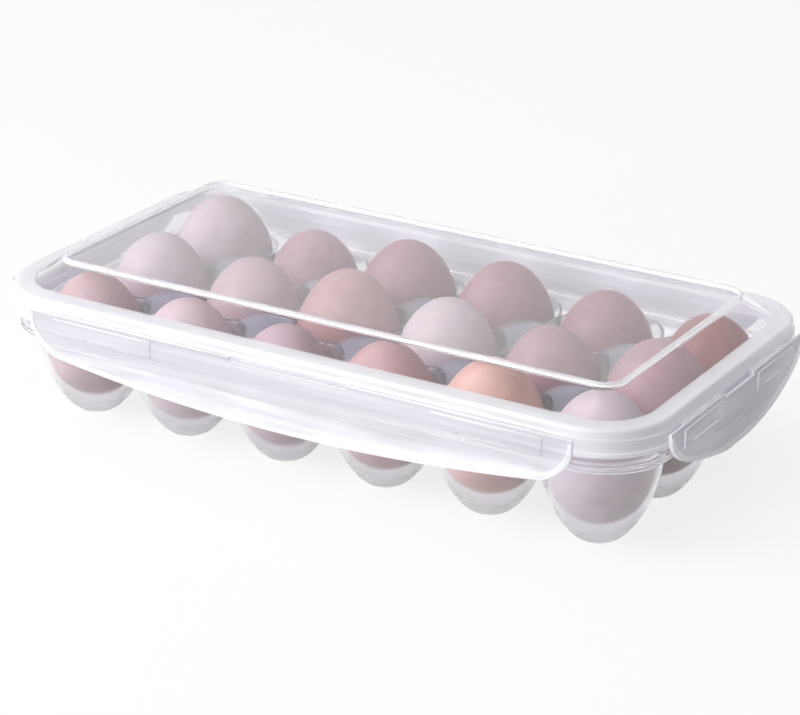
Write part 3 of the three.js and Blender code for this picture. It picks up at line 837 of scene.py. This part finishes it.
def pale_floor():
    """White as the camera sees it, and a plain pale grey to the light that it sends back up."""
    material, tree, output = node_material("pale_floor")
    place = tree.nodes.new("ShaderNodeTexCoord").outputs["Object"]
    tint = blend_colour(tree, seen_directly(tree, 1.0), (0.70, 0.70, 0.71), (0.95, 0.95, 0.96))
    shader = tree.nodes.new("ShaderNodeBsdfPrincipled")
    tree.links.new(tint, shader.inputs["Base Color"])
    tree.links.new(spread(tree, noise(tree, place, 30, 2.0), 0.80, 0.92), shader.inputs["Roughness"])
    shader.inputs["Specular IOR Level"].default_value = 0.2
    glow = tree.nodes.new("ShaderNodeEmission")
    glow.inputs["Color"].default_value = (1, 1, 1, 1)
    glow.inputs["Strength"].default_value = 1.0
    blend_shaders(tree, seen_directly(tree, 0.80), shader.outputs["BSDF"], glow.outputs["Emission"], output)
    return material


def studio_world():
    """A white backdrop, and for the light a soft sky that is brighter from the left, the front and above."""
    world = bpy.data.worlds.new("studio")
    bpy.context.scene.world = world
    world.use_nodes = True
    tree = world.node_tree
    tree.nodes.clear()
    output = tree.nodes.new("ShaderNodeOutputWorld")
    ambient = tree.nodes.new("ShaderNodeBackground")
    ambient.inputs["Color"].default_value = (0.955, 0.965, 1.0, 1)
    facing = tree.nodes.new("ShaderNodeVectorMath")
    facing.operation = "DOT_PRODUCT"
    facing.inputs[1].default_value = Vector((-0.62, -0.6, 0.5)).normalized()
    tree.links.new(tree.nodes.new("ShaderNodeTexCoord").outputs["Generated"], facing.inputs[0])
    tree.links.new(spread(tree, facing.outputs["Value"], 0.03, 0.90, -1, 1), ambient.inputs["Strength"])
    white = tree.nodes.new("ShaderNodeBackground")
    white.inputs["Color"].default_value = (1, 1, 1, 1)
    white.inputs["Strength"].default_value = 1.0
    blend_shaders(tree, seen_directly(tree, 1.0), ambient.outputs["Background"], white.outputs["Background"], output)


def lamp(name, place, target, size, watts, colour):
    """A soft rectangular lamp that faces its target."""
    light = bpy.data.lights.new(name, "AREA")
    light.shape = "RECTANGLE"
    light.size, light.size_y = size
    light.energy = watts
    light.color = colour
    holder = bpy.data.objects.new(name, light)
    bpy.context.scene.collection.objects.link(holder)
    holder.location = place
    holder.rotation_euler = (Vector(target) - Vector(place)).to_track_quat("-Z", "Y").to_euler()


def photo_camera(azimuth, elevation, roll, lens, place):
    """The photograph's camera; the place is given along its own right, up and backward axes, in metres."""
    azimuth, elevation, roll = (math.radians(v) for v in (azimuth, elevation, roll))
    level = math.cos(elevation)
    back = Vector((math.sin(azimuth) * level, -math.cos(azimuth) * level, math.sin(elevation)))
    right = Vector((math.cos(azimuth), math.sin(azimuth), 0))
    up = back.cross(right)
    rolled_right = math.cos(roll) * right + math.sin(roll) * up
    rolled_up = -math.sin(roll) * right + math.cos(roll) * up
    turn = Matrix((rolled_right, rolled_up, back)).transposed()
    data = bpy.data.cameras.new("camera")
    data.sensor_fit = "HORIZONTAL"
    data.sensor_width = 36
    data.lens = lens
    data.clip_start = 0.05
    camera = bpy.data.objects.new("camera", data)
    bpy.context.scene.collection.objects.link(camera)
    camera.matrix_world = Matrix.Translation(turn @ Vector(place)) @ turn.to_4x4()
    bpy.context.scene.camera = camera


FLOOR_HALF, FLOOR_TOP = 4000, -0.3
floor_corners = [(sx * FLOOR_HALF, sy * FLOOR_HALF, FLOOR_TOP) for sx, sy in ((-1, -1), (1, -1), (1, 1), (-1, 1))]
floor = new_piece("floor", floor_corners, [(0, 1, 2, 3)])
floor.data.materials.append(pale_floor())
studio_world()
lamp("key", (-0.95, -1.05, 1.1), (0, 0, 0.04), (0.8, 0.8), 18.5, (1.0, 0.985, 0.97))
lamp("fill", (-0.55, -1.4, 0.22), (0, -0.08, 0.03), (0.25, 0.4), 4.6, (0.97, 0.98, 1.0))
photo_camera(azimuth=31.029, elevation=22.437, roll=0.355, lens=127.854, place=(0.0013, 0.0305, 1.2442))

# Plain colours, and enough bounces for light to pass through the lid, the tray and the flaps
bpy.context.scene.view_settings.view_transform = "Standard"
paths = bpy.context.scene.cycles
paths.max_bounces = 24
paths.glossy_bounces = 8
paths.transmission_bounces = 24
paths.transparent_max_bounces = 24
